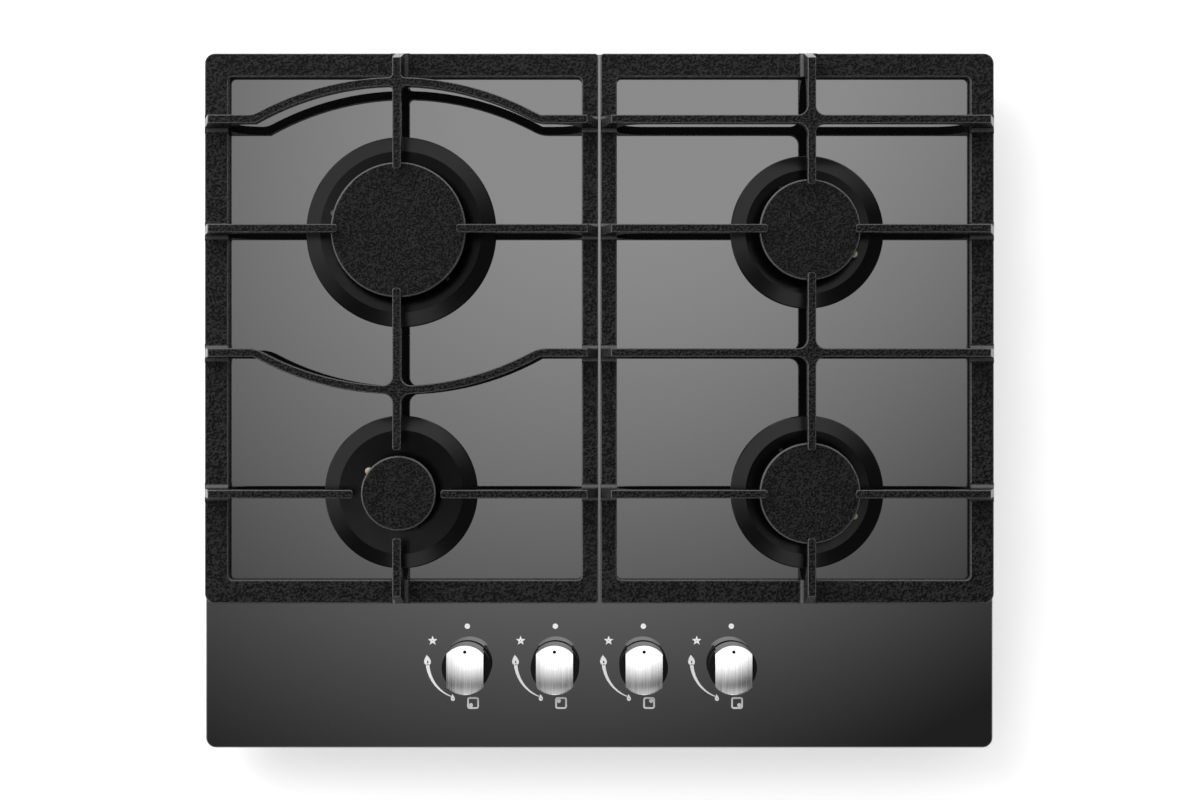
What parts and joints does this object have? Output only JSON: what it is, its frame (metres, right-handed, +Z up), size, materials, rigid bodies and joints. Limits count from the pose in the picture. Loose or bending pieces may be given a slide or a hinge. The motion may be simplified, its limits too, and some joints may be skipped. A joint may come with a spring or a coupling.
{
  "type": "gas cooktop",
  "caption": "Built-in gas cooktop: black glass top, burners with enamelled caps, cast-iron pan supports and brushed metal knobs over a shallow steel box.",
  "frame": {"origin": "under the middle of the glass top, at the bottom of the steel box", "axes": "+X to the user's right, +Y away from the user to the back, +Z up"},
  "size_m": [0.59, 0.52, 0.092],
  "materials": {
    "burner_base_front_left": "gloss enamel",
    "burner_base_front_right": "gloss enamel",
    "burner_base_rear_left": "gloss enamel",
    "burner_base_rear_right": "gloss enamel",
    "burner_box": "galvanised",
    "burner_cap_front_left": "matt enamel",
    "burner_cap_front_right": "matt enamel",
    "burner_cap_rear_left": "matt enamel",
    "burner_cap_rear_right": "matt enamel",
    "burner_cup_front_left": "die cast",
    "burner_cup_front_right": "die cast",
    "burner_cup_rear_left": "die cast",
    "burner_cup_rear_right": "die cast",
    "cable_gland": "moulded",
    "flame_spreader_front_left": "die cast",
    "flame_spreader_front_right": "die cast",
    "flame_spreader_rear_left": "die cast",
    "flame_spreader_rear_right": "die cast",
    "gas_inlet": "machined",
    "gas_pipes": "drawn",
    "gas_rail": "plated",
    "gas_tap_1": "die cast",
    "gas_tap_2": "die cast",
    "gas_tap_3": "die cast",
    "gas_tap_4": "die cast",
    "glass_panel": "polished black",
    "igniters": "glazed",
    "ignition_leads": "silicone sleeve",
    "ignition_switches": "moulded",
    "injectors": "machined",
    "knob_body_1": "moulded",
    "knob_body_2": "moulded",
    "knob_body_3": "moulded",
    "knob_body_4": "moulded",
    "knob_cover_1": "brushed",
    "knob_cover_2": "brushed",
    "knob_cover_3": "brushed",
    "knob_cover_4": "brushed",
    "m4_screws": "zinc plated",
    "pan_support_left": "matt enamel",
    "pan_support_right": "matt enamel",
    "return_spring_1": "spring wire",
    "return_spring_2": "spring wire",
    "return_spring_3": "spring wire",
    "return_spring_4": "spring wire",
    "spark_generator": "moulded",
    "spindle_seals": "moulded",
    "support_feet_left": "moulded",
    "support_feet_right": "moulded",
    "tap_bracket": "galvanised",
    "tap_plug_1": "lapped",
    "tap_plug_2": "lapped",
    "tap_plug_3": "lapped",
    "tap_plug_4": "lapped",
    "tap_spindle_1": "turned",
    "tap_spindle_2": "turned",
    "tap_spindle_3": "turned",
    "tap_spindle_4": "turned",
    "thermocouples": "drawn",
    "worktop_seal": "matt foam"
  },
  "bodies": {
    "hob": {"burner_base_front_left": "burner_base_front_left", "burner_base_front_right": "burner_base_front_right", "burner_base_rear_left": "burner_base_rear_left", "burner_base_rear_right": "burner_base_rear_right", "burner_box": "burner_box", "burner_cup_front_left": "burner_cup_front_left", "burner_cup_front_right": "burner_cup_front_right", "burner_cup_rear_left": "burner_cup_rear_left", "burner_cup_rear_right": "burner_cup_rear_right", "cable_gland": "cable_gland", "gas_inlet": "gas_inlet", "gas_pipes": "gas_pipes", "gas_rail": "gas_rail", "gas_tap_1": "gas_tap_1", "gas_tap_2": "gas_tap_2", "gas_tap_3": "gas_tap_3", "gas_tap_4": "gas_tap_4", "glass_panel": "glass_panel", "igniters": "igniters", "ignition_leads": "ignition_leads", "ignition_switches": "ignition_switches", "injectors": "injectors", "m4_screws": "m4_screws", "spark_generator": "spark_generator", "spindle_seals": "spindle_seals", "tap_bracket": "tap_bracket", "thermocouples": "thermocouples", "worktop_seal": "worktop_seal"},
    "plug_1": {"tap_plug_1": "tap_plug_1", "return_spring_1": "return_spring_1"},
    "knob_1": {"tap_spindle_1": "tap_spindle_1", "knob_body_1": "knob_body_1", "knob_cover_1": "knob_cover_1"},
    "plug_2": {"tap_plug_2": "tap_plug_2", "return_spring_2": "return_spring_2"},
    "knob_2": {"tap_spindle_2": "tap_spindle_2", "knob_body_2": "knob_body_2", "knob_cover_2": "knob_cover_2"},
    "plug_3": {"tap_plug_3": "tap_plug_3", "return_spring_3": "return_spring_3"},
    "knob_3": {"tap_spindle_3": "tap_spindle_3", "knob_body_3": "knob_body_3", "knob_cover_3": "knob_cover_3"},
    "plug_4": {"tap_plug_4": "tap_plug_4", "return_spring_4": "return_spring_4"},
    "knob_4": {"tap_spindle_4": "tap_spindle_4", "knob_body_4": "knob_body_4", "knob_cover_4": "knob_cover_4"},
    "support_left": {"pan_support_left": "pan_support_left", "support_feet_left": "support_feet_left"},
    "support_right": {"pan_support_right": "pan_support_right", "support_feet_right": "support_feet_right"},
    "spreader_rear_left": {"flame_spreader_rear_left": "flame_spreader_rear_left"},
    "cap_rear_left": {"burner_cap_rear_left": "burner_cap_rear_left"},
    "spreader_front_left": {"flame_spreader_front_left": "flame_spreader_front_left"},
    "cap_front_left": {"burner_cap_front_left": "burner_cap_front_left"},
    "spreader_rear_right": {"flame_spreader_rear_right": "flame_spreader_rear_right"},
    "cap_rear_right": {"burner_cap_rear_right": "burner_cap_rear_right"},
    "spreader_front_right": {"flame_spreader_front_right": "flame_spreader_front_right"},
    "cap_front_right": {"burner_cap_front_right": "burner_cap_front_right"}
  },
  "joints": [
    {"name": "knob_turn_1", "type": "hinge", "parent": "hob", "child": "plug_1", "pos_m": [-0.099, -0.1982, 0.054], "axis": [0, 0, 1], "range_deg": [0, 157]},
    {"name": "knob_push_1", "type": "slide", "parent": "plug_1", "child": "knob_1", "axis": [0, 0, 1], "range_m": [-0.0035, 0], "stiffness_N_per_m": 1500, "springref_m": 0.003, "deforming": ["return_spring_1"]},
    {"name": "knob_turn_2", "type": "hinge", "parent": "hob", "child": "plug_2", "pos_m": [-0.033, -0.1982, 0.054], "axis": [0, 0, 1], "range_deg": [0, 157]},
    {"name": "knob_push_2", "type": "slide", "parent": "plug_2", "child": "knob_2", "axis": [0, 0, 1], "range_m": [-0.0035, 0], "stiffness_N_per_m": 1500, "springref_m": 0.003, "deforming": ["return_spring_2"]},
    {"name": "knob_turn_3", "type": "hinge", "parent": "hob", "child": "plug_3", "pos_m": [0.033, -0.1982, 0.054], "axis": [0, 0, 1], "range_deg": [0, 157]},
    {"name": "knob_push_3", "type": "slide", "parent": "plug_3", "child": "knob_3", "axis": [0, 0, 1], "range_m": [-0.0035, 0], "stiffness_N_per_m": 1500, "springref_m": 0.003, "deforming": ["return_spring_3"]},
    {"name": "knob_turn_4", "type": "hinge", "parent": "hob", "child": "plug_4", "pos_m": [0.099, -0.1982, 0.054], "axis": [0, 0, 1], "range_deg": [0, 157]},
    {"name": "knob_push_4", "type": "slide", "parent": "plug_4", "child": "knob_4", "axis": [0, 0, 1], "range_m": [-0.0035, 0], "stiffness_N_per_m": 1500, "springref_m": 0.003, "deforming": ["return_spring_4"]},
    {"name": "support_lift_left", "type": "slide", "parent": "hob", "child": "support_left", "axis": [0, 0, 1], "range_m": [0, 0.24]},
    {"name": "support_lift_right", "type": "slide", "parent": "hob", "child": "support_right", "axis": [0, 0, 1], "range_m": [0, 0.24]},
    {"name": "spreader_lift_rear_left", "type": "slide", "parent": "hob", "child": "spreader_rear_left", "axis": [0, 0, 1], "range_m": [0, 0.12]},
    {"name": "cap_lift_rear_left", "type": "slide", "parent": "spreader_rear_left", "child": "cap_rear_left", "axis": [0, 0, 1], "range_m": [0, 0.06]},
    {"name": "spreader_lift_front_left", "type": "slide", "parent": "hob", "child": "spreader_front_left", "axis": [0, 0, 1], "range_m": [0, 0.12]},
    {"name": "cap_lift_front_left", "type": "slide", "parent": "spreader_front_left", "child": "cap_front_left", "axis": [0, 0, 1], "range_m": [0, 0.06]},
    {"name": "spreader_lift_rear_right", "type": "slide", "parent": "hob", "child": "spreader_rear_right", "axis": [0, 0, 1], "range_m": [0, 0.12]},
    {"name": "cap_lift_rear_right", "type": "slide", "parent": "spreader_rear_right", "child": "cap_rear_right", "axis": [0, 0, 1], "range_m": [0, 0.06]},
    {"name": "spreader_lift_front_right", "type": "slide", "parent": "hob", "child": "spreader_front_right", "axis": [0, 0, 1], "range_m": [0, 0.12]},
    {"name": "cap_lift_front_right", "type": "slide", "parent": "spreader_front_right", "child": "cap_front_right", "axis": [0, 0, 1], "range_m": [0, 0.06]}
  ],
  "couplings": [
    {"joint": "spreader_lift_rear_left", "follows": "support_lift_left", "ratio": 0.5},
    {"joint": "cap_lift_rear_left", "follows": "support_lift_left", "ratio": 0.25},
    {"joint": "spreader_lift_front_left", "follows": "support_lift_left", "ratio": 0.5},
    {"joint": "cap_lift_front_left", "follows": "support_lift_left", "ratio": 0.25},
    {"joint": "spreader_lift_rear_right", "follows": "support_lift_right", "ratio": 0.5},
    {"joint": "cap_lift_rear_right", "follows": "support_lift_right", "ratio": 0.25},
    {"joint": "spreader_lift_front_right", "follows": "support_lift_right", "ratio": 0.5},
    {"joint": "cap_lift_front_right", "follows": "support_lift_right", "ratio": 0.25}
  ]
}
